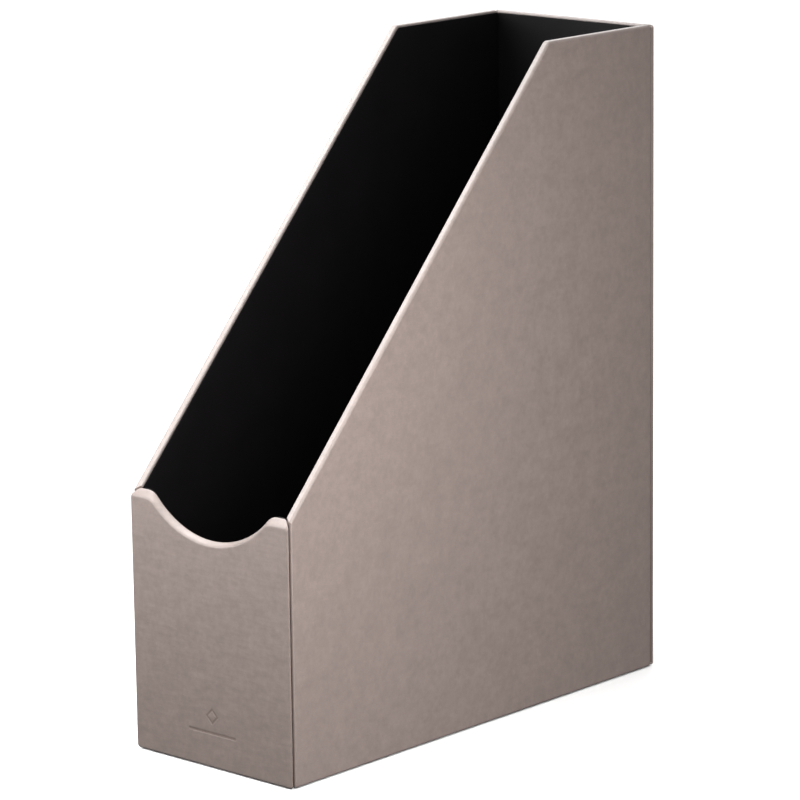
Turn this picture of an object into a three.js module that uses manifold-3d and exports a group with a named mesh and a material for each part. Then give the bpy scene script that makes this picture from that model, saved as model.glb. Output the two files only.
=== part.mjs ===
// Magazine file holder in covered board: five stiff boards, the four walls each wrapped in leatherette,
// lined in black, taped together in the inside corners, and closed below by a thin underside sheet.
// Units are millimetres. X is the width, the open low front faces -Y, Z is up, and the origin is on the
// surface it stands on, under the middle of the holder.
import * as THREE from "three";
import { mergeVertices } from "three/addons/utils/BufferGeometryUtils.js";
import Module from "manifold-3d";

const wasm = await Module();
wasm.setup();

// Overall size
const WIDTH = 100;
const DEPTH = 260;
const HEIGHT = 320;
const FRONT_HEIGHT = 122; // at the outer face, where the sides' slope starts
const TOP_FLAT = 78; // level stretch of each side's top edge, at the back

// Thumb scoop in the front's top edge, which is bevelled to the sides' slope
const SCOOP_DEPTH = 16;
const SCOOP_RADIUS = 50;
const SCOOP_KNEE = 8; // rounding between the scoop and the level shoulders
const SCOOP_STEPS = 28;

// Layers of a wall, from outside to inside
const COVER = 0.5;
const GLUE = 0.1; // film between two layers
const BOARD = 2.6;
const WRAPPED = COVER + GLUE + BOARD + GLUE + COVER;
const TAPE = 0.2;
const LINING = 0.4;
const TAPE_FACE = WRAPPED + GLUE;
const LINING_FACE = TAPE_FACE + TAPE + GLUE;
const CLEAR = LINING_FACE + LINING; // from the outside of a wall to its lined inner face

// Edges and joints between walls
const CORNER_ROUND = 0.9; // vertical outer corners, on the front and back walls
const SEAM_SETBACK = 1.2; // the seam lies this far round the corner, on the side's face
const SEAM_GAP = 0.06; // from the seam's middle to the cover on each side of it
const SEAM_ROUND = 0.4; // wrapped edges at the mouth of the seam
const EDGE_ROUND = 1.5; // corners of a wall's outline
const SLOPE_ROUND = 3; // where the slope meets the level top
const ROUND_STEPS = 6;
const TURN_IN = 15; // cover folded over onto the inside of its board
const LINING_SETBACK = 1; // from a wall's edge to the lining's edge
const LEAST_ROUND = 0.2;
const CUT_PAST = 1; // how far a cutter runs past the face that it cuts

// Base
const UNDERSIDE = 0.5;
const UNDERSIDE_SETBACK = 4;
const UNDERSIDE_ROUND = 3;
const WALL_BOTTOM = UNDERSIDE;
const BASE_BOTTOM = UNDERSIDE + GLUE;
const BASE_TOP = BASE_BOTTOM + BOARD;
const FLOOR_TOP = BASE_TOP + GLUE + LINING;

// Tapes in the inside corners
const TAPE_LEG = 12;
const TAPE_BOTTOM = FLOOR_TOP + GLUE;
const FRONT_TAPE_TOP = FRONT_HEIGHT - 10;
const BACK_TAPE_TOP = HEIGHT - 6;

// Mark pressed into the front: a plain diamond outline over a short bar
const MARK_DEPTH = 0.3;
const MARK_HEIGHT = 25;
const DIAMOND_HALF = 4;
const DIAMOND_LINE = 1;
const BAR_LENGTH = 30;
const BAR_THICKNESS = 1.3;
const BAR_DROP = 8; // from the diamond's middle to the bar's

const half = { x: WIDTH / 2, y: DEPTH / 2 };

// ---- outlines: lists of [u, v] points, anticlockwise ----

// Each edge of a convex outline moved inwards by its own distance. Edge i runs from point i to point i + 1.
function inset(points, distances) {
  const lines = points.map((from, i) => {
    const to = points[(i + 1) % points.length];
    const length = Math.hypot(to[0] - from[0], to[1] - from[1]);
    const normal = [-(to[1] - from[1]) / length, (to[0] - from[0]) / length];
    const distance = Array.isArray(distances) ? distances[i] : distances;
    return { normal, offset: normal[0] * from[0] + normal[1] * from[1] + distance };
  });
  return lines.map((line, i) => {
    const before = lines[(i + lines.length - 1) % lines.length];
    const det = before.normal[0] * line.normal[1] - before.normal[1] * line.normal[0];
    return [
      (before.offset * line.normal[1] - line.offset * before.normal[1]) / det,
      (before.normal[0] * line.offset - line.normal[0] * before.offset) / det,
    ];
  });
}

function arc(centre, radius, from, to, steps) {
  const points = [];
  for (let i = 0; i <= steps; i++) {
    const angle = from + ((to - from) * i) / steps;
    points.push([centre[0] + radius * Math.cos(angle), centre[1] + radius * Math.sin(angle)]);
  }
  return points;
}

// A convex outline with corner i rounded to radii[i], or left sharp where that is 0.
function rounded(points, radii) {
  return points.flatMap((corner, i) => {
    const radius = Math.max(Array.isArray(radii) ? radii[i] : radii, 0);
    if (radius < 1e-3) return [corner];
    const before = points[(i + points.length - 1) % points.length];
    const after = points[(i + 1) % points.length];
    const inward = Math.atan2(corner[1] - before[1], corner[0] - before[0]);
    const outward = Math.atan2(after[1] - corner[1], after[0] - corner[0]);
    const turn = (outward - inward + 4 * Math.PI) % (2 * Math.PI);
    const reach = radius * Math.tan(turn / 2);
    const centre = [
      corner[0] - reach * Math.cos(inward) - radius * Math.sin(inward),
      corner[1] - reach * Math.sin(inward) + radius * Math.cos(inward),
    ];
    return arc(centre, radius, inward - Math.PI / 2, inward + turn - Math.PI / 2, ROUND_STEPS);
  });
}

function rectangle(u0, v0, u1, v1) {
  return [[u0, v0], [u1, v0], [u1, v1], [u0, v1]];
}

function mirrored(points) {
  return points.map(([u, v]) => [-u, v]).reverse();
}

// ---- solids ----

function toSolid(geometry) {
  const bare = geometry.clone();
  bare.deleteAttribute("normal");
  bare.deleteAttribute("uv");
  const merged = mergeVertices(bare);
  return new wasm.Manifold(
    new wasm.Mesh({
      numProp: 3,
      vertProperties: merged.attributes.position.array,
      triVerts: new Uint32Array(merged.index.array),
    }),
  );
}

function toGeometry(solid) {
  const mesh = solid.getMesh();
  const shared = new THREE.BufferGeometry();
  shared.setAttribute("position", new THREE.BufferAttribute(mesh.vertProperties, 3));
  shared.setIndex(new THREE.BufferAttribute(mesh.triVerts, 1));
  const geometry = shared.toNonIndexed();
  geometry.computeVertexNormals();
  return geometry;
}

// An outline in [x, y], [x, z] or [y, z], extruded between two places on the remaining axis.
const ACROSS = {
  x: new THREE.Matrix4().makeBasis(
    new THREE.Vector3(0, 1, 0), new THREE.Vector3(0, 0, 1), new THREE.Vector3(1, 0, 0)),
  y: new THREE.Matrix4().makeBasis(
    new THREE.Vector3(1, 0, 0), new THREE.Vector3(0, 0, 1), new THREE.Vector3(0, -1, 0)),
  z: new THREE.Matrix4(),
};

function prism(outline, axis, from, to) {
  const shape = new THREE.Shape(outline.map(([u, v]) => new THREE.Vector2(u, v)));
  const geometry = new THREE.ExtrudeGeometry(shape, { depth: to - from, bevelEnabled: false });
  geometry.translate(0, 0, axis === "y" ? -to : from);
  geometry.applyMatrix4(ACROSS[axis]);
  return toSolid(geometry);
}

// ---- outlines of the walls ----

const SIDE_CORNERS = [
  [-half.y, WALL_BOTTOM],
  [half.y, WALL_BOTTOM],
  [half.y, HEIGHT],
  [half.y - TOP_FLAT, HEIGHT],
  [-half.y, FRONT_HEIGHT],
];
const SIDE_RADII = [EDGE_ROUND, EDGE_ROUND, EDGE_ROUND, SLOPE_ROUND, EDGE_ROUND];

function sideOutline(depth) {
  return rounded(inset(SIDE_CORNERS, depth), SIDE_RADII.map((radius) => radius - depth));
}

function backOutline(depth) {
  const corners = rectangle(-half.x, WALL_BOTTOM, half.x, HEIGHT);
  return rounded(inset(corners, depth), EDGE_ROUND - depth);
}

// The front wall's outline moved inwards by depth: the scoop's arc grows by as much and its knees shrink.
// bottom and side are the places of its lower and outer edges. It reaches up to where the sides' slope
// passes the wall's inner face, and the slope bevels it from there down to the outer face.
const SLOPE = (HEIGHT - FRONT_HEIGHT) / (DEPTH - TOP_FLAT);
const FRONT_INNER_TOP = FRONT_HEIGHT + SLOPE * WRAPPED;

function scoopedOutline(depth, bottom, side, cornerRound) {
  const top = FRONT_INNER_TOP - depth;
  const scoop = SCOOP_RADIUS + depth;
  const knee = Math.max(SCOOP_KNEE - depth, LEAST_ROUND);
  const scoopCentre = FRONT_HEIGHT - SCOOP_DEPTH + SCOOP_RADIUS;
  const drop = scoopCentre - (top - knee);
  const kneeX = Math.sqrt((scoop + knee) ** 2 - drop ** 2);
  const swing = Math.atan2(kneeX, drop);
  const quarter = Math.PI / 2;
  const corners = rounded(rectangle(-side, bottom, side, top), cornerRound);
  const beforeScoop = (corners.length * 3) / 4;
  return [
    ...corners.slice(0, beforeScoop),
    ...arc([kneeX, top - knee], knee, quarter, quarter + swing, ROUND_STEPS),
    ...arc([0, scoopCentre], scoop, swing - quarter, -swing - quarter, SCOOP_STEPS).slice(1, -1),
    ...arc([-kneeX, top - knee], knee, quarter - swing, quarter, ROUND_STEPS),
    ...corners.slice(beforeScoop),
  ];
}

function frontOutline(depth) {
  return scoopedOutline(depth, WALL_BOTTOM + depth, half.x - depth, EDGE_ROUND - depth);
}

// ---- plans of the walls: they meet in slanted seams that open a little way round each corner ----

const END_WALL_PLAN = [
  [-half.x, -half.y],
  [half.x, -half.y],
  [half.x, -half.y + SEAM_SETBACK],
  [half.x - WRAPPED, -half.y + WRAPPED],
  [-half.x + WRAPPED, -half.y + WRAPPED],
  [-half.x, -half.y + SEAM_SETBACK],
];
const END_WALL_GAPS = [0, 0, SEAM_GAP, 0, SEAM_GAP, 0];
const END_WALL_RADII = [CORNER_ROUND, CORNER_ROUND, SEAM_ROUND, SEAM_ROUND, SEAM_ROUND, SEAM_ROUND];

const SIDE_WALL_PLAN = [
  [half.x, -half.y + SEAM_SETBACK],
  [half.x, half.y - SEAM_SETBACK],
  [half.x - WRAPPED, half.y - WRAPPED],
  [half.x - WRAPPED, -half.y + WRAPPED],
];
const SIDE_WALL_GAPS = [0, SEAM_GAP, 0, SEAM_GAP];
const SIDE_WALL_RADII = [SEAM_ROUND, SEAM_ROUND, SEAM_ROUND, SEAM_ROUND];

// A board is cut square, so only the outside of its wrapped cover, at depth 0, is rounded in plan.
function wallPlan(corners, gaps, radii, depth) {
  const moved = inset(corners, gaps.map((gap) => gap + depth));
  return depth > 0 ? moved : rounded(moved, radii);
}

function endWallPlan(depth) {
  return wallPlan(END_WALL_PLAN, END_WALL_GAPS, END_WALL_RADII, depth);
}

function sideWallPlan(depth) {
  return wallPlan(SIDE_WALL_PLAN, SIDE_WALL_GAPS, SIDE_WALL_RADII, depth);
}

// ---- walls: everything of a wall that lies deeper than depth under its cover's outside ----

function frontWall(depth) {
  const body = prism(frontOutline(depth), "y", -half.y, -half.y + WRAPPED);
  const bevel = prism(sideOutline(depth), "x", -half.x, half.x);
  return body.intersect(prism(endWallPlan(depth), "z", 0, HEIGHT)).intersect(bevel);
}

function backWall(depth) {
  const body = prism(backOutline(depth), "y", half.y - WRAPPED, half.y);
  const plan = endWallPlan(depth).map(([x, y]) => [-x, -y]);
  return body.intersect(prism(plan, "z", 0, HEIGHT));
}

function sideWall(depth, side) {
  const plan = side > 0 ? sideWallPlan(depth) : mirrored(sideWallPlan(depth));
  const inner = side * (half.x - WRAPPED);
  const outer = side * half.x;
  const body = prism(sideOutline(depth), "x", Math.min(inner, outer), Math.max(inner, outer));
  return body.intersect(prism(plan, "z", 0, HEIGHT));
}

// A cover is the skin of its wall, open on the inside where the turned-in edges stop.
function coverOf(wall, window) {
  return wall(0).subtract(wall(COVER)).subtract(window);
}

function boardOf(wall) {
  return wall(COVER + GLUE);
}

const WINDOW_EDGE = WRAPPED + TURN_IN;
const WINDOW_DEEP = COVER + GLUE + BOARD / 2; // the window's cutter starts inside the board's space

function endWindow(top, side) {
  const edge = half.x - WINDOW_EDGE;
  const outline = rectangle(-edge, WALL_BOTTOM + TURN_IN, edge, top - TURN_IN);
  const near = side * (half.y - WINDOW_DEEP);
  const past = side * (half.y - WRAPPED - CUT_PAST);
  return prism(outline, "y", Math.min(near, past), Math.max(near, past));
}

function sideWindow(side) {
  const outline = inset(SIDE_CORNERS, [TURN_IN, WINDOW_EDGE, TURN_IN, TURN_IN, WINDOW_EDGE]);
  const near = side * (half.x - WINDOW_DEEP);
  const past = side * (half.x - WRAPPED - CUT_PAST);
  return prism(outline, "x", Math.min(near, past), Math.max(near, past));
}

// ---- the mark pressed into the front ----

function markCutter() {
  const outer = [[0, -DIAMOND_HALF], [DIAMOND_HALF, 0], [0, DIAMOND_HALF], [-DIAMOND_HALF, 0]];
  const lift = ([x, z]) => [x, z + MARK_HEIGHT];
  const deep = -half.y + MARK_DEPTH;
  const inner = inset(outer, DIAMOND_LINE);
  const diamond = prism(outer.map(lift), "y", -half.y - CUT_PAST, deep)
    .subtract(prism(inner.map(lift), "y", -half.y - 2 * CUT_PAST, deep + CUT_PAST));
  const barMiddle = MARK_HEIGHT - BAR_DROP;
  const bar = rectangle(
    -BAR_LENGTH / 2, barMiddle - BAR_THICKNESS / 2, BAR_LENGTH / 2, barMiddle + BAR_THICKNESS / 2);
  return diamond.add(prism(bar, "y", -half.y - CUT_PAST, deep));
}

// ---- linings, floor and underside ----

function sideLining(side) {
  const outline = inset(SIDE_CORNERS, [
    FLOOR_TOP + GLUE - WALL_BOTTOM, LINING_FACE, LINING_SETBACK, LINING_SETBACK, LINING_FACE,
  ]);
  const inner = side * (half.x - CLEAR);
  const outer = side * (half.x - LINING_FACE);
  return prism(outline, "x", Math.min(inner, outer), Math.max(inner, outer));
}

const END_LINING_SIDE = half.x - CLEAR - GLUE;

function frontLining() {
  const outline = scoopedOutline(LINING_SETBACK, FLOOR_TOP + GLUE, END_LINING_SIDE, LEAST_ROUND);
  return prism(outline, "y", -half.y + LINING_FACE, -half.y + CLEAR);
}

function backLining() {
  const outline = rectangle(-END_LINING_SIDE, FLOOR_TOP + GLUE, END_LINING_SIDE, HEIGHT - LINING_SETBACK);
  return prism(outline, "y", half.y - CLEAR, half.y - LINING_FACE);
}

function insideSheet(setback, from, to) {
  const u = half.x - setback;
  const v = half.y - setback;
  return prism(rectangle(-u, -v, u, v), "z", from, to);
}

function undersideSheet() {
  const u = half.x - UNDERSIDE_SETBACK;
  const v = half.y - UNDERSIDE_SETBACK;
  return prism(rounded(rectangle(-u, -v, u, v), UNDERSIDE_ROUND), "z", 0, UNDERSIDE);
}

// A tape folded into the inside corner at (+x, -y), its two legs flat on the wrapped walls.
function cornerTape(xSide, ySide, top) {
  const near = TAPE_FACE;
  const far = TAPE_FACE + TAPE;
  const end = TAPE_FACE + TAPE_LEG;
  const corner = [
    [half.x - near, -half.y + near],
    [half.x - near, -half.y + end],
    [half.x - far, -half.y + end],
    [half.x - far, -half.y + far],
    [half.x - end, -half.y + far],
    [half.x - end, -half.y + near],
  ];
  const turned = ySide > 0 ? corner.map(([x, y]) => [x, -y]).reverse() : corner;
  const plan = xSide > 0 ? turned : mirrored(turned);
  return prism(plan, "z", TAPE_BOTTOM, top);
}

// ---- materials ----

function material(colour, roughness, metalness) {
  return new THREE.MeshStandardMaterial({ color: colour, roughness, metalness });
}

const LEATHERETTE = material(0xa3938a, 0.55, 0.15);
const GREYBOARD = material(0x8c8378, 0.9, 0);
const BLACK_LINING = material(0x141314, 0.7, 0);
const CLOTH_TAPE = material(0x2b2927, 0.85, 0);
const UNDERSIDE_FELT = material(0x1b1a1a, 0.95, 0);

// ---- assembly ----

const group = new THREE.Group();

function place(name, solid, look) {
  const mesh = new THREE.Mesh(toGeometry(solid), look);
  mesh.name = name;
  group.add(mesh);
}

place("front_board", boardOf(frontWall), GREYBOARD);
place("back_board", boardOf(backWall), GREYBOARD);
place("base_board", insideSheet(WRAPPED + GLUE, BASE_BOTTOM, BASE_TOP), GREYBOARD);
place(
  "front_cover",
  coverOf(frontWall, endWindow(FRONT_HEIGHT - SCOOP_DEPTH, -1)).subtract(markCutter()),
  LEATHERETTE,
);
place("back_cover", coverOf(backWall, endWindow(HEIGHT, 1)), LEATHERETTE);
place("front_lining", frontLining(), BLACK_LINING);
place("back_lining", backLining(), BLACK_LINING);
place("floor_lining", insideSheet(WRAPPED + GLUE, BASE_TOP + GLUE, FLOOR_TOP), BLACK_LINING);
place("underside_sheet", undersideSheet(), UNDERSIDE_FELT);

for (const [name, side] of [["left", -1], ["right", 1]]) {
  const wall = (depth) => sideWall(depth, side);
  place(name + "_side_board", boardOf(wall), GREYBOARD);
  place(name + "_side_cover", coverOf(wall, sideWindow(side)), LEATHERETTE);
  place(name + "_side_lining", sideLining(side), BLACK_LINING);
  place("front_" + name + "_corner_tape", cornerTape(side, -1, FRONT_TAPE_TOP), CLOTH_TAPE);
  place("back_" + name + "_corner_tape", cornerTape(side, 1, BACK_TAPE_TOP), CLOTH_TAPE);
}

export default group;
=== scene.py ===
import math

import bmesh
import bpy
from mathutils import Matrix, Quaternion, Vector
from mathutils.geometry import tessellate_polygon


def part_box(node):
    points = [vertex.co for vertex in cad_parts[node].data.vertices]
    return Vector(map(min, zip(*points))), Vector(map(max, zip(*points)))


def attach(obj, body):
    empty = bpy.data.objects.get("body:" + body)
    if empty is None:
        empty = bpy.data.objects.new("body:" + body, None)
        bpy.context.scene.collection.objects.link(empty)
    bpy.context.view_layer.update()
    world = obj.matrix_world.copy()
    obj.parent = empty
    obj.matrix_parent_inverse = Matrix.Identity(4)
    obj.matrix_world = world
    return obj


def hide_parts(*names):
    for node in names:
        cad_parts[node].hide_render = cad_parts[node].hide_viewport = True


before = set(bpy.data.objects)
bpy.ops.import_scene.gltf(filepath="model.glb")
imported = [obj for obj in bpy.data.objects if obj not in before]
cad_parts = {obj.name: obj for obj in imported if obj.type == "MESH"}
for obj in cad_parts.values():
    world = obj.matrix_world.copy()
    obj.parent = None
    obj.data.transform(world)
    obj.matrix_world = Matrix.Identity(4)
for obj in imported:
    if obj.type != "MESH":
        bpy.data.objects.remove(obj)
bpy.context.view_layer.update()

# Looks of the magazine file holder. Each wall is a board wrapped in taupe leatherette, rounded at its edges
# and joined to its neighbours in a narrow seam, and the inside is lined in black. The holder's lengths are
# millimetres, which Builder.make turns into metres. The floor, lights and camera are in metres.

MM = 0.001

# ---- places, from the frame ----


def box_mm(node):
    low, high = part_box(node)
    return Vector(low) / MM, Vector(high) / MM


front_low, front_high = box_mm("front_cover")
back_high = box_mm("back_cover")[1]
side_high = box_mm("right_side_cover")[1]
side_lining_low, side_lining_high = box_mm("right_side_lining")
end_lining_high = box_mm("front_lining")[1]
floor_low, floor_high = box_mm("floor_lining")
underside_low, underside_high = box_mm("underside_sheet")

HALF_WIDTH = front_high.x
FRONT = front_low.y
BACK = back_high.y
BOTTOM = front_low.z
TOP = side_high.z
FRONT_INNER_TOP = front_high.z
WALL = front_high.y - front_low.y  # board and its cover on both faces

# ---- shapes that a box can't tell, the same as in the CAD model ----

TOP_FLAT = 78  # level stretch of a side's top edge
SCOOP_DEPTH = 16
SCOOP_RADIUS = 50
SCOOP_KNEE = 8  # rounding between the scoop and the level shoulders
SLOPE_ROUND = 3  # where the slope meets the level top
EDGE_ROUND = 1.5  # corners of a wall's outline
SEAM_SETBACK = 1.2  # the seam lies this far round the corner
COVER = 0.5
TURN_IN = 15  # cover folded over onto the inside of its board
LINING_SETBACK = 1  # from a wall's edge to the lining's edge

DIAMOND_HALF = 4
DIAMOND_LINE = 1.0
BAR_LENGTH = 30
BAR_THICKNESS = 1.3
BAR_DROP = 8  # from the diamond's middle to the bar's
MARK_MIDDLE = 25  # height of the diamond's middle

# The sides' slope starts at the front wall's outer face and bevels that wall's top, so it reaches the inner
# face higher up.
SLOPE_RUN = BACK - TOP_FLAT - FRONT
FRONT_TOP = (FRONT_INNER_TOP * SLOPE_RUN - WALL * TOP) / (SLOPE_RUN - WALL)
BEVEL = FRONT_INNER_TOP - FRONT_TOP

# ---- fine shapes that only the visual model has ----

RIM_OUTER_ROUND = 1.4  # a wall's top edge, from its outer face and into its inner one
RIM_INNER_ROUND = 0.7
BEVEL_ROUND = 2.2  # from the front's outer face into its bevelled top edge
SCOOP_RISE = 1.8  # the scoop's edge rises this much from the outer face to the inner one
BOTTOM_ROUND = 1.0  # from a wall's outer face into its bottom edge
LEAST_ROUND = 0.12  # no corner is sharper, so that its points stay apart
SMOOTH_ANGLE = 40  # degrees; faces that meet more sharply keep a hard edge
CORNER_STEPS = 8
PROFILE_STEPS = 10
SCOOP_STEPS = 56
SUPPORT = 0.5  # a ring this far inside each flat face keeps its shading flat
NEAR = 0.02  # points this close to a line are on it

CORNER_ROUND = 0.75  # vertical outer corners
FRONT_SEAM_GAP = 0.4  # from a seam's middle to the wall on each side of it, at the mouth
BACK_SEAM_GAP = 0.35
SEAM_CLOSED = 0.08  # the same at the inner end
SEAM_ROUND = 0.9  # the side's edge at the mouth
SEAM_LIP_ROUND = 0.3  # the end wall's edge at the mouth
INNER_SEAM_ROUND = 0.4
SEAM_SLANT = 1.25  # a skin of even thickness is this much wider when measured level with the wall

MARK_DEPTH = 0.12
MARK_SOFT = 0.3  # half the width of its sloping edges
MARK_STEPS = 6
DIAMOND_ROUND = 0.4
BAR_ROUND = 0.3

WINDOW_ROUND = 2  # corners of the opening between the turned-in edges
LINING_FOOT_ROUND = 0.3  # corners of a lining's outline
LINING_TOP_ROUND = 0.8
FRONT_LINING_ROUND = 0.5
FLOOR_LINING_ROUND = 0.5
UNDERSIDE_CORNER_ROUND = 3
FLAT_LEAST_ROUND = 0.3  # the least corner radius in a level sheet's inner rings
LINING_ROUND = 0.18  # rims of the sheets, in section
UNDERSIDE_ROUND = 0.2
RIM_MIDDLE = 0.3  # halfway round a sheet's rounded rim, the share of its radius left to the face and edge

# ---- painted light and wear: above 0, cover is painted lighter and greyer and made glossier than its open face, a painted highlight on rims that stands for wear too; below 0, the reverse, painted shade in seams and the pressed mark ----

# Rims are painted lighter and greyer, a highlight where they catch the light, and wear.
RIM_HIGHLIGHT_AND_WEAR = 0.74
FRONT_RIM_HIGHLIGHT_AND_WEAR = 0.32
TURN_IN_HIGHLIGHT_AND_WEAR = 0.5  # the share of a rim's painted highlight and wear left where the cover turns in beside it
# Seams are painted darker, as shade in their grooves and round the back corners.
SEAM_PAINTED_SHADE = -0.6
BACK_SEAM_PAINTED_SHADE = -1.3
SEAM_SHADE_DEPTH = 0.4  # seam edges have their full painted shade from this far under the outer face
# The pressed mark's floor is painted darker, as shade in its recess.
MARK_PAINTED_SHADE = -0.6


# ---- outlines: anticlockwise lists of (u, v) ----


def inset(points, distances):
    """Each edge of a convex outline moved inwards by its own distance. Edge i starts at point i."""
    lines = []
    for i, (u0, v0) in enumerate(points):
        u1, v1 = points[(i + 1) % len(points)]
        length = math.hypot(u1 - u0, v1 - v0)
        normal = (-(v1 - v0) / length, (u1 - u0) / length)
        lines.append((normal, normal[0] * u0 + normal[1] * v0 + distances[i]))
    moved = []
    for i, (normal, offset) in enumerate(lines):
        before, before_offset = lines[i - 1]
        det = before[0] * normal[1] - before[1] * normal[0]
        moved.append((
            (before_offset * normal[1] - offset * before[1]) / det,
            (before[0] * offset - normal[0] * before_offset) / det,
        ))
    return moved


def arc(centre, radius, start, end, steps):
    angles = [start + (end - start) * i / steps for i in range(steps + 1)]
    return [(centre[0] + radius * math.cos(a), centre[1] + radius * math.sin(a)) for a in angles]


def corner_arc(before, corner, after, radius, steps):
    """The arc that rounds a corner, whichever way the path turns there."""
    inward = math.atan2(corner[1] - before[1], corner[0] - before[0])
    outward = math.atan2(after[1] - corner[1], after[0] - corner[0])
    turn = (outward - inward + math.pi) % (2 * math.pi) - math.pi
    side = 1 if turn > 0 else -1
    reach = radius * math.tan(abs(turn) / 2)
    centre = (
        corner[0] - reach * math.cos(inward) - side * radius * math.sin(inward),
        corner[1] - reach * math.sin(inward) + side * radius * math.cos(inward),
    )
    start = inward - side * math.pi / 2
    return arc(centre, radius, start, start + turn, steps)


def rounded(points, radii):
    """A closed outline with corner i rounded to radii[i]. Every corner gets the same number of points."""
    result = []
    for i, corner in enumerate(points):
        after = points[(i + 1) % len(points)]
        radius = max(radii[i], LEAST_ROUND)
        result += corner_arc(points[i - 1], corner, after, radius, CORNER_STEPS)
    return result


def rectangle(u0, v0, u1, v1):
    return [(u0, v0), (u1, v0), (u1, v1), (u0, v1)]


def scooped(top_inset, scoop_inset, knee, bottom, side, round_radius):
    """The front's outline with its thumb scoop. The scoop's arc grows by scoop_inset, and a rounded knee
    joins it to the top on each side."""
    top = FRONT_INNER_TOP - top_inset
    scoop = SCOOP_RADIUS - SCOOP_RISE + scoop_inset
    scoop_centre = FRONT_TOP - SCOOP_DEPTH + SCOOP_RADIUS
    drop = scoop_centre - (top - knee)
    knee_u = math.sqrt((scoop + knee) ** 2 - drop ** 2)
    swing = math.atan2(knee_u, drop)
    corners = rounded(rectangle(-side, bottom, side, top), [round_radius] * 4)
    before_scoop = len(corners) * 3 // 4
    quarter = math.pi / 2
    return [
        *corners[:before_scoop],
        *arc((knee_u, top - knee), knee, quarter, quarter + swing, CORNER_STEPS),
        *arc((0, scoop_centre), scoop, swing - quarter, -swing - quarter, SCOOP_STEPS)[1:-1],
        *arc((-knee_u, top - knee), knee, quarter - swing, quarter, CORNER_STEPS),
        *corners[before_scoop:],
    ]


# ---- edge profiles: how far a wall's edge is set back at each depth under the wall's outer face ----


def rounding(depth, radius):
    """Set-back of a quarter-round edge at this depth, 0 once past it."""
    if depth >= radius:
        return 0.0
    return radius - math.sqrt(radius ** 2 - (radius - depth) ** 2)


def rim(depth):
    return rounding(depth, RIM_OUTER_ROUND) + rounding(WALL - depth, RIM_INNER_ROUND)


def bottom_edge(depth):
    return rounding(depth, BOTTOM_ROUND) + rounding(WALL - depth, RIM_INNER_ROUND)


def path_profile(corners, radii):
    """An edge profile from a path of (set-back, depth) corners, from the outer face to the inner one."""
    path = []
    for before, corner, after, radius in zip(corners, corners[1:], corners[2:], radii):
        path += corner_arc(before, corner, after, radius, PROFILE_STEPS)

    def profile(depth):
        for (s0, d0), (s1, d1) in zip(path, path[1:]):
            if d0 <= depth <= d1 and d1 > d0:
                return s0 + (s1 - s0) * (depth - d0) / (d1 - d0)
        return path[0][0] if depth < path[0][1] else path[-1][0]

    return profile


FAR = 30  # how far the faces beside an edge are drawn on, to give its rounding room


def seam_profiles(gap):
    """The profiles of a seam's two walls: the end wall, which reaches round the corner, and the side."""
    end = path_profile(
        [(FAR, 0), (0, 0), (0, SEAM_SETBACK - gap), (WALL + SEAM_CLOSED, WALL), (FAR, WALL)],
        [CORNER_ROUND, SEAM_LIP_ROUND, INNER_SEAM_ROUND],
    )
    side = path_profile(
        [(FAR, 0), (SEAM_SETBACK + gap, 0), (WALL + SEAM_CLOSED, WALL), (FAR, WALL)],
        [SEAM_ROUND, INNER_SEAM_ROUND],
    )
    return end, side


front_end_seam, front_side_seam = seam_profiles(FRONT_SEAM_GAP)
back_end_seam, back_side_seam = seam_profiles(BACK_SEAM_GAP)

# The front's top edge is bevelled to the slope, and its scoop's edge rises inwards too.
front_rim = path_profile([(FAR, 0), (BEVEL, 0), (0, WALL), (FAR, WALL)], [BEVEL_ROUND, RIM_INNER_ROUND])
scoop_rim = path_profile(
    [(FAR, 0), (SCOOP_RISE, 0), (0, WALL), (FAR, WALL)], [RIM_OUTER_ROUND, RIM_INNER_ROUND])

# A wall has rings at these depths: close together round its rims, and a few in between.
ROUND_ANGLES = [math.radians(a) for a in (0, 12, 24, 36, 48, 60, 72, 82, 90)]
MIDDLE_STEPS = 4
outer_depths = [RIM_OUTER_ROUND * (1 - math.cos(a)) for a in ROUND_ANGLES]
inner_depths = [WALL - RIM_INNER_ROUND * (1 - math.cos(a)) for a in ROUND_ANGLES[::-1]]
middle = inner_depths[0] - outer_depths[-1]
middle_depths = [outer_depths[-1] + middle * i / MIDDLE_STEPS for i in range(1, MIDDLE_STEPS)]
DEPTHS = [*outer_depths, *middle_depths, *inner_depths]


# ---- mesh building ----


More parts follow.
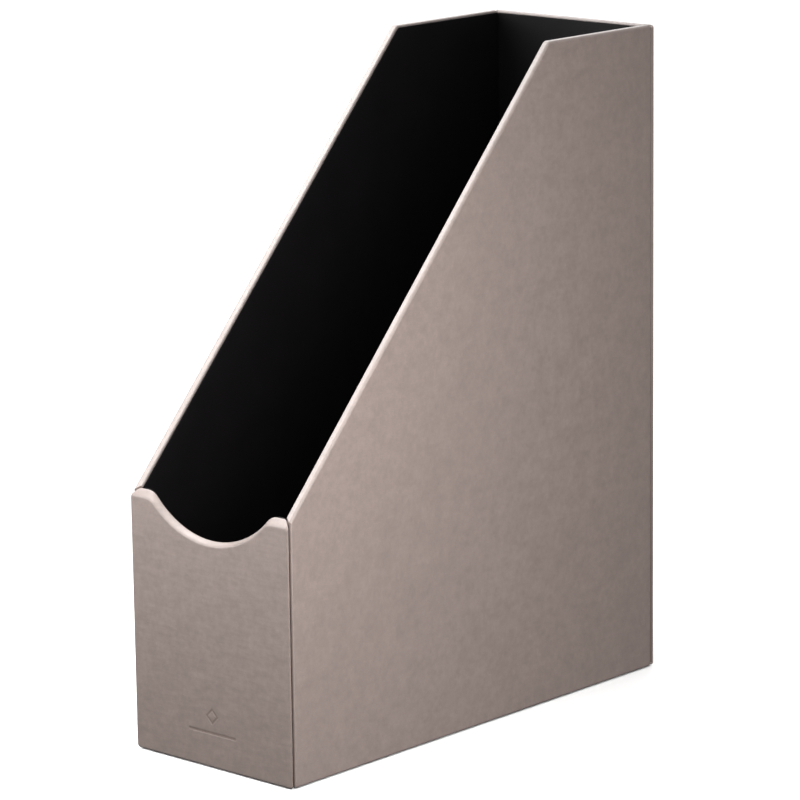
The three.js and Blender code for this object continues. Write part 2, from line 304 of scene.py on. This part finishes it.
class Builder:
    """Collects rings of points and the faces between them, in millimetres."""

    def __init__(self):
        self.points = []
        self.faces = []
        self.painted_light_and_wear = []

    def ring(self, points, painted_light_and_wear=None):
        """Adds points and the painted light and wear of each, and returns their numbers."""
        first = len(self.points)
        self.points += [Vector(p) for p in points]
        self.painted_light_and_wear += painted_light_and_wear or [0.0] * len(points)
        return list(range(first, len(self.points)))

    def bridge(self, one, two):
        count = len(one)
        for i in range(count):
            j = (i + 1) % count
            self.faces.append((one[i], one[j], two[j], two[i]))

    def loft(self, rings):
        for one, two in zip(rings, rings[1:]):
            self.bridge(one, two)

    def cap(self, outer, holes=()):
        """Fills a flat ring, leaving the holes open."""
        if not holes:
            self.faces.append(tuple(outer))
            return
        loops = [outer, *holes]
        flat = [i for loop in loops for i in loop]
        for triangle in tessellate_polygon([[self.points[i] for i in loop] for loop in loops]):
            self.faces.append(tuple(flat[i] for i in triangle))

    def make(self, name, material):
        """The finished object, in metres, with its painted light and wear as a point attribute."""
        mesh = bpy.data.meshes.new(name)
        mesh.from_pydata([p * MM for p in self.points], [], self.faces)
        painted_light_and_wear = mesh.attributes.new("painted_light_and_wear", "FLOAT", "POINT")
        painted_light_and_wear.data.foreach_set("value", self.painted_light_and_wear)
        edit = bmesh.new()
        edit.from_mesh(mesh)
        bmesh.ops.recalc_face_normals(edit, faces=edit.faces)
        edit.to_mesh(mesh)
        edit.free()
        mesh.shade_smooth()
        mesh.set_sharp_from_angle(angle=math.radians(SMOOTH_ANGLE))
        mesh.materials.append(material)
        obj = bpy.data.objects.new(name, mesh)
        bpy.context.scene.collection.objects.link(obj)
        return obj


def shell(builder, outline, place, window, rim_highlight_and_wear, seam_painted_shade, marks=()):
    """A cover: the wrapped outside of a wall and its turned-in edges, with the board's space left hollow.
    outline(depth, extra) is the wall's outline at a depth, moved inwards by extra. Its upright edges, at the
    outline's least and greatest u, are seams, painted darker as shade, where the rims are painted lighter as
    a highlight and wear. The turned-in edges end at the window, and the face leaves the marks' rings open."""
    def ring(depth, extra=0.0, part=0.0):
        points = outline(depth, extra)
        low = min(u for u, v in points) + NEAR
        high = max(u for u, v in points) - NEAR
        # Seam edges get painted shade; elsewhere the rims get a painted highlight and wear, growing round
        # their rounding.
        seam_shade = seam_painted_shade * min(1, depth / SEAM_SHADE_DEPTH)
        ring_light_and_wear = [rim_highlight_and_wear * part if low < u < high else seam_shade for u, v in points]
        return builder.ring([place(u, v, depth) for u, v in points], ring_light_and_wear)

    face = ring(0, SUPPORT)
    outside = [face]
    for depth in DEPTHS:
        outside.append(ring(depth, 0, min(1, depth / RIM_OUTER_ROUND)))
    outside.append(ring(WALL, SUPPORT, TURN_IN_HIGHLIGHT_AND_WEAR))
    builder.loft(outside)
    builder.cap(face, marks)
    near_board = WALL - COVER
    mouth = builder.ring([place(u, v, WALL) for u, v in window])
    lip = builder.ring([place(u, v, near_board) for u, v in window])
    builder.cap(outside[-1], [mouth])
    builder.bridge(mouth, lip)
    inside = [ring(near_board, COVER), ring(WALL / 2, COVER), ring(COVER, COVER)]
    builder.cap(inside[0], [lip])
    builder.loft(inside)
    builder.cap(inside[-1])


def sheet(builder, outline, place, back, front, round_radius):
    """A thin sheet between two depths, with a rounded rim. outline(extra) is its outline, moved inwards."""
    def ring(depth, extra):
        return builder.ring([place(u, v, depth) for u, v in outline(extra)])

    middle = (back + front) / 2
    step = round_radius * RIM_MIDDLE
    side = 1 if front > back else -1
    rings = [
        ring(back, SUPPORT + round_radius),
        ring(back, round_radius),
        ring(back + side * step, step),
        ring(back + side * round_radius, 0),
        ring(middle, 0),
        ring(front - side * round_radius, 0),
        ring(front - side * step, step),
        ring(front, round_radius),
        ring(front, SUPPORT + round_radius),
    ]
    builder.loft(rings)
    builder.cap(rings[0])
    builder.cap(rings[-1])


# ---- materials ----


class Nodes:
    """Short calls for a material's node tree."""

    def __init__(self, name):
        self.material = bpy.data.materials.new(name)
        self.material.use_nodes = True
        self.tree = self.material.node_tree
        self.shader = self.tree.nodes["Principled BSDF"]

    def add(self, kind):
        return self.tree.nodes.new(kind)

    def link(self, output, target):
        self.tree.links.new(output, target)

    def place(self, scale):
        """The object's own coordinates, in metres, times a scale for each axis."""
        coordinates = self.add("ShaderNodeTexCoord")
        mapping = self.add("ShaderNodeMapping")
        mapping.inputs["Scale"].default_value = scale
        self.link(coordinates.outputs["Object"], mapping.inputs["Vector"])
        return mapping.outputs["Vector"]

    def noise(self, scale, detail, roughness):
        """Noise from 0 to 1, with this many cells to a metre along each axis."""
        node = self.add("ShaderNodeTexNoise")
        node.inputs["Scale"].default_value = 1.0
        node.inputs["Detail"].default_value = detail
        node.inputs["Roughness"].default_value = roughness
        self.link(self.place(scale), node.inputs["Vector"])
        return node.outputs["Fac"]

    def math(self, operation, one, two):
        node = self.add("ShaderNodeMath")
        node.operation = operation
        for socket, value in zip(node.inputs, (one, two)):
            if isinstance(value, (int, float)):
                socket.default_value = value
            else:
                self.link(value, socket)
        return node.outputs["Value"]

    def span(self, value, low, high):
        """A 0 to 1 value spread over another range."""
        node = self.add("ShaderNodeMapRange")
        node.clamp = False
        node.inputs["To Min"].default_value = low
        node.inputs["To Max"].default_value = high
        self.link(value, node.inputs["Value"])
        return node.outputs["Result"]

    def brighter(self, colour, factor, saturation=None):
        """A colour with its brightness, and if need be its saturation, multiplied by a varying factor."""
        node = self.add("ShaderNodeHueSaturation")
        node.inputs["Color"].default_value = (*colour, 1)
        self.link(factor, node.inputs["Value"])
        if saturation is not None:
            self.link(saturation, node.inputs["Saturation"])
        return node.outputs["Color"]

    def bump(self, height, strength, distance, under=None):
        """The normal under it, bent by a height whose full range stands for this distance in metres."""
        node = self.add("ShaderNodeBump")
        node.inputs["Strength"].default_value = strength
        node.inputs["Distance"].default_value = distance
        self.link(height, node.inputs["Height"])
        if under is not None:
            self.link(under, node.inputs["Normal"])
        return node.outputs["Normal"]


TAUPE = (0.208, 0.165, 0.149)
LINING_BLACK = (0.0045, 0.004, 0.0045)
BOARD_BROWN = (0.26, 0.22, 0.18)
TAPE_BLACK = (0.03, 0.028, 0.026)
FLOCK_BLACK = (0.022, 0.021, 0.021)
FLOOR_WHITE = (0.93, 0.93, 0.93)

FRONT_STREAK = 0.16  # how much lighter and darker the leatherette's level streaks are
SIDE_STREAK = 0.05


def leatherette(name, streak):
    """Taupe coated leatherette: a fine pebbled grain, faint level streaks, and folded edges painted a little
    lighter and greyer as a highlight and wear, and smoother, with seams and the pressed mark painted darker
    as shade."""
    n = Nodes(name)
    pebble = n.noise((1500, 1500, 1500), 3.0, 0.6)
    streaks = n.noise((90, 90, 520), 3.0, 0.6)
    grain = n.noise((330, 330, 330), 3.0, 0.6)
    mottle = n.noise((130, 130, 130), 3.0, 0.55)
    # A point attribute of painted light: above 0 a painted highlight on rims that also stands for wear,
    # below 0 painted shade in seams and the pressed mark.
    painted_light_and_wear = n.add("ShaderNodeAttribute")
    painted_light_and_wear.attribute_name = "painted_light_and_wear"
    painted_light_and_wear = painted_light_and_wear.outputs["Fac"]

    tone = n.span(mottle, 0.87, 1.13)
    tone = n.math("MULTIPLY", tone, n.span(streaks, 1 - streak, 1 + streak))
    tone = n.math("MULTIPLY", tone, n.span(grain, 0.82, 1.18))
    tone = n.math("MULTIPLY", tone, n.span(pebble, 0.9, 1.1))
    # Painted light: rims lighter and greyer as a highlight, seams and the mark darker as shade.
    tone = n.math("MULTIPLY", tone, n.span(painted_light_and_wear, 1.0, 1.38))
    n.link(n.brighter(TAUPE, tone, n.span(painted_light_and_wear, 1.0, 0.6)), n.shader.inputs["Base Color"])

    gloss = n.math("ADD", n.span(pebble, 0.42, 0.5), n.span(painted_light_and_wear, 0.0, -0.1))
    n.link(gloss, n.shader.inputs["Roughness"])
    n.shader.inputs["Specular IOR Level"].default_value = 0.6
    n.shader.inputs["Sheen Weight"].default_value = 0.15
    n.shader.inputs["Sheen Roughness"].default_value = 0.4

    fine = n.bump(pebble, 0.35, 0.00012)
    level = n.bump(streaks, 0.25, 0.00015, fine)
    n.link(level, n.shader.inputs["Normal"])
    return n.material


def black_lining(name):
    """Smooth black lining sheet with a faint woven tooth."""
    n = Nodes(name)
    weave = n.add("ShaderNodeTexWave")
    weave.wave_type = "BANDS"
    weave.bands_direction = "DIAGONAL"
    weave.inputs["Scale"].default_value = 1.0
    weave.inputs["Distortion"].default_value = 1.2
    weave.inputs["Detail"].default_value = 2.0
    n.link(n.place((900, 900, 900)), weave.inputs["Vector"])
    fibre = n.noise((3000, 3000, 3000), 2.0, 0.6)
    mottle = n.noise((60, 60, 60), 3.0, 0.5)
    tone = n.math("MULTIPLY", n.span(mottle, 0.8, 1.25), n.span(fibre, 0.8, 1.2))
    n.link(n.brighter(LINING_BLACK, tone), n.shader.inputs["Base Color"])
    n.link(n.span(fibre, 0.42, 0.58), n.shader.inputs["Roughness"])
    n.shader.inputs["Specular IOR Level"].default_value = 0.1
    woven = n.bump(weave.outputs["Fac"], 0.2, 0.00006)
    n.link(n.bump(fibre, 0.3, 0.00008, woven), n.shader.inputs["Normal"])
    return n.material


def fibre_board(name):
    """Dense grey-brown fibre board, flecked and matt."""
    n = Nodes(name)
    flecks = n.noise((700, 700, 2400), 4.0, 0.7)
    layers = n.noise((60, 60, 60), 2.0, 0.5)
    tone = n.math("MULTIPLY", n.span(flecks, 0.7, 1.3), n.span(layers, 0.9, 1.1))
    n.link(n.brighter(BOARD_BROWN, tone), n.shader.inputs["Base Color"])
    n.link(n.span(flecks, 0.8, 0.95), n.shader.inputs["Roughness"])
    n.link(n.bump(flecks, 0.4, 0.0001), n.shader.inputs["Normal"])
    return n.material


def woven_tape(name):
    """Thin dark binding tape in a plain weave."""
    n = Nodes(name)
    heights = []
    for axis in ("X", "Y", "Z"):
        wave = n.add("ShaderNodeTexWave")
        wave.wave_type = "BANDS"
        wave.bands_direction = axis
        wave.inputs["Scale"].default_value = 1.0
        n.link(n.place((450, 450, 450)), wave.inputs["Vector"])
        heights.append(wave.outputs["Fac"])
    weave = n.math("MAXIMUM", n.math("MAXIMUM", heights[0], heights[1]), heights[2])
    n.link(n.brighter(TAPE_BLACK, n.span(weave, 0.6, 1.3)), n.shader.inputs["Base Color"])
    n.shader.inputs["Roughness"].default_value = 0.85
    n.link(n.bump(weave, 0.5, 0.0001), n.shader.inputs["Normal"])
    return n.material


def flocked(name):
    """Black flock: short fibres that scatter light softly."""
    n = Nodes(name)
    fibres = n.noise((3500, 3500, 3500), 4.0, 0.75)
    patches = n.noise((90, 90, 90), 3.0, 0.5)
    tone = n.math("MULTIPLY", n.span(fibres, 0.5, 1.5), n.span(patches, 0.8, 1.2))
    n.link(n.brighter(FLOCK_BLACK, tone), n.shader.inputs["Base Color"])
    n.link(n.span(fibres, 0.85, 1.0), n.shader.inputs["Roughness"])
    n.shader.inputs["Sheen Weight"].default_value = 0.6
    n.shader.inputs["Sheen Roughness"].default_value = 0.5
    n.link(n.bump(fibres, 0.8, 0.0003), n.shader.inputs["Normal"])
    return n.material


FRONT_LEATHER = leatherette("front_leatherette", FRONT_STREAK)
SIDE_LEATHER = leatherette("side_leatherette", SIDE_STREAK)
LINING = black_lining("lining_sheet")
BOARD = fibre_board("fibre_board")
TAPE = woven_tape("binding_tape")
FLOCK = flocked("underside_flock")


# ---- the four wrapped walls ----

# Each of these four puts a point of a wall's outline, at a depth under its outer face, into the frame.


def at_front(u, v, depth):
    return (u, FRONT + depth, v)


def at_back(u, v, depth):
    return (u, BACK - depth, v)


def at_right(u, v, depth):
    return (HALF_WIDTH - depth, u, v)


def at_left(u, v, depth):
    return (depth - HALF_WIDTH, u, v)


def round_left(radius, moved):
    """A corner's radius once its edges have moved inwards."""
    return max(radius - moved, LEAST_ROUND)


def front_outline(depth, extra=0.0):
    top = front_rim(depth) + extra
    scoop = scoop_rim(depth) + extra
    side = HALF_WIDTH - front_end_seam(depth) - extra * SEAM_SLANT
    bottom = BOTTOM + bottom_edge(depth) + extra
    knee = round_left(SCOOP_KNEE, extra)
    return scooped(top, scoop, knee, bottom, side, round_left(EDGE_ROUND, extra))


def back_outline(depth, extra=0.0):
    bottom = bottom_edge(depth) + extra
    seam = back_end_seam(depth) + extra * SEAM_SLANT
    top = rim(depth) + extra
    moved = inset(rectangle(-HALF_WIDTH, BOTTOM, HALF_WIDTH, TOP), [bottom, seam, top, seam])
    return rounded(moved, [round_left(EDGE_ROUND, top)] * 4)


SIDE_CORNERS = [
    (FRONT, BOTTOM),
    (BACK, BOTTOM),
    (BACK, TOP),
    (BACK - TOP_FLAT, TOP),
    (FRONT, FRONT_TOP),
]
SIDE_ROUNDS = [EDGE_ROUND, EDGE_ROUND, EDGE_ROUND, SLOPE_ROUND, 0]


def side_outline(depth, extra=0.0):
    bottom = bottom_edge(depth) + extra
    back_seam = back_side_seam(depth) + extra * SEAM_SLANT
    front_seam = front_side_seam(depth) + extra * SEAM_SLANT
    top = rim(depth) + extra
    moved = inset(SIDE_CORNERS, [bottom, back_seam, top, top, front_seam])
    return rounded(moved, [round_left(radius, top) for radius in SIDE_ROUNDS])


def end_window(top):
    """Where the board shows between an end wall's turned-in edges, below the given top."""
    side = HALF_WIDTH - WALL - TURN_IN
    return rounded(rectangle(-side, BOTTOM + TURN_IN, side, top - TURN_IN), [WINDOW_ROUND] * 4)


def side_window():
    end = WALL + TURN_IN
    return rounded(inset(SIDE_CORNERS, [TURN_IN, end, TURN_IN, TURN_IN, end]), [WINDOW_ROUND] * 5)


# ---- the mark pressed into the front: a plain diamond outline over a short bar ----


def pressed_edge(builder, outline, outwards):
    """Rings down the soft edge of a pressed shape. outline(extra) is its contour, moved inwards by extra.
    outwards is 1 where the face lies outside the contour, and -1 where it lies inside. Returns the first
    ring, on the face, and the last one, on the pressed floor."""
    flat = outwards * -(MARK_SOFT + SUPPORT)
    rings = [builder.ring([at_front(u, v, 0) for u, v in outline(flat)])]
    for i in range(MARK_STEPS + 1):
        t = i / MARK_STEPS
        drop = t * t * (3 - 2 * t)
        extra = outwards * MARK_SOFT * (2 * t - 1)
        points = [at_front(u, v, MARK_DEPTH * drop) for u, v in outline(extra)]
        # The pressed floor is painted darker, as shade in the recess.
        rings.append(builder.ring(points, [MARK_PAINTED_SHADE * drop] * len(points)))
    builder.loft(rings)
    return rings[0], rings[-1]


def pressed_mark(builder):
    """Builds the mark, and returns the rings that the front's flat face leaves open for it."""
    def diamond(extra):
        low = MARK_MIDDLE - DIAMOND_HALF
        high = MARK_MIDDLE + DIAMOND_HALF
        corners = [(0, low), (DIAMOND_HALF, MARK_MIDDLE), (0, high), (-DIAMOND_HALF, MARK_MIDDLE)]
        return rounded(inset(corners, [extra] * 4), [DIAMOND_ROUND] * 4)

    def bar(extra):
        end = BAR_LENGTH / 2
        edge = BAR_THICKNESS / 2
        middle = MARK_MIDDLE - BAR_DROP
        corners = rectangle(-end, middle - edge, end, middle + edge)
        return rounded(inset(corners, [extra] * 4), [BAR_ROUND - extra] * 4)

    diamond_mouth, diamond_floor = pressed_edge(builder, diamond, 1)
    island, island_floor = pressed_edge(builder, lambda extra: diamond(DIAMOND_LINE + extra), -1)
    builder.cap(diamond_floor, [island_floor])
    builder.cap(island)
    bar_mouth, bar_floor = pressed_edge(builder, bar, 1)
    builder.cap(bar_floor)
    return [diamond_mouth, bar_mouth]


def finish_piece(piece, slot, *nodes):
    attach(piece, "root")
    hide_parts(*nodes)


front = Builder()
front_marks = pressed_mark(front)
front_window = end_window(FRONT_TOP - SCOOP_DEPTH)
shell(front, front_outline, at_front, front_window, FRONT_RIM_HIGHLIGHT_AND_WEAR, SEAM_PAINTED_SHADE, front_marks)
finish_piece(front.make("front_wrap", FRONT_LEATHER), "cover", "front_cover")

back = Builder()
shell(back, back_outline, at_back, end_window(TOP), RIM_HIGHLIGHT_AND_WEAR, BACK_SEAM_PAINTED_SHADE)
finish_piece(back.make("back_wrap", SIDE_LEATHER), "cover", "back_cover")

for side, at_side in (("left", at_left), ("right", at_right)):
    wall = Builder()
    shell(wall, side_outline, at_side, side_window(), RIM_HIGHLIGHT_AND_WEAR, SEAM_PAINTED_SHADE)
    finish_piece(wall.make(side + "_side_wrap", SIDE_LEATHER), "cover", side + "_side_cover")


# ---- linings ----

LINING_BACK = HALF_WIDTH - side_lining_high.x  # a lining's two faces, as depths under its wall's outer face
LINING_FACE = HALF_WIDTH - side_lining_low.x
LINING_FLOOR = side_lining_low.z


def side_lining_outline(extra):
    end = side_lining_low.y - FRONT + extra
    rise = LINING_FLOOR - BOTTOM + extra
    back_off = LINING_SETBACK + extra
    moved = inset(SIDE_CORNERS, [rise, end, back_off, back_off, end])
    foot, top = LINING_FOOT_ROUND, LINING_TOP_ROUND
    return rounded(moved, [foot, foot, top, SLOPE_ROUND, top])


def front_lining_outline(extra):
    side = end_lining_high.x - extra
    setback = LINING_SETBACK + extra
    return scooped(setback, setback, SCOOP_KNEE, LINING_FLOOR + extra, side, FRONT_LINING_ROUND)


def back_lining_outline(extra):
    side = end_lining_high.x - extra
    corners = rectangle(-side, LINING_FLOOR + extra, side, TOP - LINING_SETBACK - extra)
    return rounded(corners, [LINING_FOOT_ROUND, LINING_FOOT_ROUND, LINING_TOP_ROUND, LINING_TOP_ROUND])


def flat_outline(low, high, round_radius):
    def outline(extra):
        corners = rectangle(low.x + extra, low.y + extra, high.x - extra, high.y - extra)
        return rounded(corners, [max(round_radius - extra, FLAT_LEAST_ROUND)] * 4)

    return outline


def at_level(u, v, height):
    return (u, v, height)


def lining_piece(name, outline, place, back_depth, face_depth, node):
    builder = Builder()
    sheet(builder, outline, place, back_depth, face_depth, LINING_ROUND)
    finish_piece(builder.make(name, LINING), "lining", node)


for name, outline, place, node in (
    ("front", front_lining_outline, at_front, "front_lining"),
    ("back", back_lining_outline, at_back, "back_lining"),
    ("left", side_lining_outline, at_left, "left_side_lining"),
    ("right", side_lining_outline, at_right, "right_side_lining"),
):
    lining_piece(name + "_lining_sheet", outline, place, LINING_BACK, LINING_FACE, node)

floor_outline = flat_outline(floor_low, floor_high, FLOOR_LINING_ROUND)
lining_piece("floor_lining_sheet", floor_outline, at_level, floor_low.z, floor_high.z, "floor_lining")

underside = Builder()
underside_outline = flat_outline(underside_low, underside_high, UNDERSIDE_CORNER_ROUND)
sheet(underside, underside_outline, at_level, underside_low.z, underside_high.z, UNDERSIDE_ROUND)
finish_piece(underside.make("underside_flock_sheet", FLOCK), "underside", "underside_sheet")


# ---- the CAD pieces that stay: boards and corner tapes ----

for name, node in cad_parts.items():
    if name.endswith("_board"):
        look = BOARD
    elif name.endswith("_tape"):
        look = TAPE
    else:
        continue
    node.data.materials.clear()
    node.data.materials.append(look)


# ---- floor and lights ----


def pale_floor(name):
    """Matt white surface, very faintly uneven."""
    n = Nodes(name)
    patches = n.noise((4, 4, 4), 2.0, 0.5)
    n.link(n.brighter(FLOOR_WHITE, n.span(patches, 0.99, 1.01)), n.shader.inputs["Base Color"])
    n.shader.inputs["Roughness"].default_value = 0.8
    n.shader.inputs["Specular IOR Level"].default_value = 0.1
    return n.material


FLOOR_REACH = 12.0  # past what the camera sees of it
floor_mesh = bpy.data.meshes.new("floor")
floor_corners = rectangle(-FLOOR_REACH, -FLOOR_REACH, FLOOR_REACH, FLOOR_REACH)
floor_mesh.from_pydata([(x, y, 0) for x, y in floor_corners], [], [(0, 1, 2, 3)])
floor_mesh.materials.append(pale_floor("pale_floor"))
floor = bpy.data.objects.new("floor", floor_mesh)
floor.visible_diffuse = False  # the floor catches light and shadow, and throws none back on the holder
floor.visible_glossy = False
bpy.context.scene.collection.objects.link(floor)


LAMP_AIM = Vector((0, 0, TOP / 2 * MM))  # the holder's middle
SUN_ANGLE = 60  # degrees across, so that its shadows are soft
SUN_STRENGTH = 2.5


def softbox(name, azimuth, elevation, distance, size, power):
    """A square lamp aimed at the holder. Azimuth 0 is in front of it and 90 on its right. Distance and size
    are in metres, and power in watts."""
    a = math.radians(azimuth)
    e = math.radians(elevation)
    out = Vector((math.sin(a) * math.cos(e), -math.cos(a) * math.cos(e), math.sin(e)))
    data = bpy.data.lights.new(name, "AREA")
    data.shape = "SQUARE"
    data.size = size
    data.energy = power
    lamp = bpy.data.objects.new(name, data)
    lamp.location = LAMP_AIM + out * distance
    lamp.rotation_mode = "QUATERNION"
    lamp.rotation_quaternion = out.to_track_quat("Z", "Y")
    lamp.visible_camera = False
    bpy.context.scene.collection.objects.link(lamp)


softbox("right_light", 47, 8, 0.415, 0.2, 0.95)
softbox("upper_side_light", 59, 22, 0.315, 0.2, 0.5)
softbox("lower_side_light", 72, -8, 0.6, 0.15, 1.84)
softbox("front_light", -32, 14, 0.5, 0.35, 2.3)
softbox("upper_front_light", -13, 26, 0.25, 0.1, 0.19)
softbox("left_top_light", -79, 53, 0.425, 0.3, 1.7)
softbox("back_light", -138, 32, 4.5, 2.4, 60)

sky_data = bpy.data.lights.new("overhead_light", "SUN")
sky_data.angle = math.radians(SUN_ANGLE)
sky_data.energy = SUN_STRENGTH
bpy.context.scene.collection.objects.link(bpy.data.objects.new("overhead_light", sky_data))

BELOW_STRENGTH = 0.04  # what the world gives as a light, from below and from above
ABOVE_STRENGTH = 0.22
HORIZON_BLEND = 0.1  # one gives way to the other within this height of the horizon
SEEN_STRENGTH = 0.92  # what lies past the floor's far edge is as pale as the floor there


def studio_world(name):
    """Dim as a light and brighter from above, but pale to the camera."""
    world = bpy.data.worlds.new(name)
    world.use_nodes = True
    add = world.node_tree.nodes.new
    link = world.node_tree.links.new
    background = world.node_tree.nodes["Background"]
    background.inputs["Color"].default_value = (1, 1, 1, 1)
    direction = add("ShaderNodeTexCoord")
    height = add("ShaderNodeSeparateXYZ")
    light_at = add("ShaderNodeMapRange")
    light_at.inputs["From Min"].default_value = -HORIZON_BLEND
    light_at.inputs["From Max"].default_value = HORIZON_BLEND
    light_at.inputs["To Min"].default_value = BELOW_STRENGTH
    light_at.inputs["To Max"].default_value = ABOVE_STRENGTH
    link(direction.outputs["Generated"], height.inputs["Vector"])
    link(height.outputs["Z"], light_at.inputs["Value"])
    ray = add("ShaderNodeLightPath")
    pale = add("ShaderNodeMath")
    pale.operation = "MULTIPLY"
    pale.inputs[1].default_value = SEEN_STRENGTH
    brightest = add("ShaderNodeMath")
    brightest.operation = "MAXIMUM"
    link(ray.outputs["Is Camera Ray"], pale.inputs[0])
    link(pale.outputs["Value"], brightest.inputs[0])
    link(light_at.outputs["Result"], brightest.inputs[1])
    link(brightest.outputs["Value"], background.inputs["Strength"])
    return world


bpy.context.scene.world = studio_world("studio")

# ---- the camera that took the photo, as near as the holder's outline tells ----

CAMERA_AZIMUTH = math.radians(42.36)
CAMERA_ELEVATION = math.radians(12.62)
CAMERA_ROLL = math.radians(-0.73)
CAMERA_DISTANCE = 1.9157
CAMERA_LENS = 181.95
AIM = Vector((0.00029, 0, 0.15091))

camera_data = bpy.data.cameras.new("camera")
camera_data.lens = CAMERA_LENS
camera_data.sensor_width = 36
camera_data.clip_start = 0.05
camera_data.clip_end = 50
camera = bpy.data.objects.new("camera", camera_data)
towards = Vector((
    math.sin(CAMERA_AZIMUTH) * math.cos(CAMERA_ELEVATION),
    -math.cos(CAMERA_AZIMUTH) * math.cos(CAMERA_ELEVATION),
    math.sin(CAMERA_ELEVATION),
))
camera.location = AIM + towards * CAMERA_DISTANCE
camera.rotation_mode = "QUATERNION"
camera.rotation_quaternion = (-towards).to_track_quat("-Z", "Y") @ Quaternion((0, 0, 1), CAMERA_ROLL)
bpy.context.scene.collection.objects.link(camera)
bpy.context.scene.camera = camera
bpy.context.scene.view_settings.view_transform = "Standard"
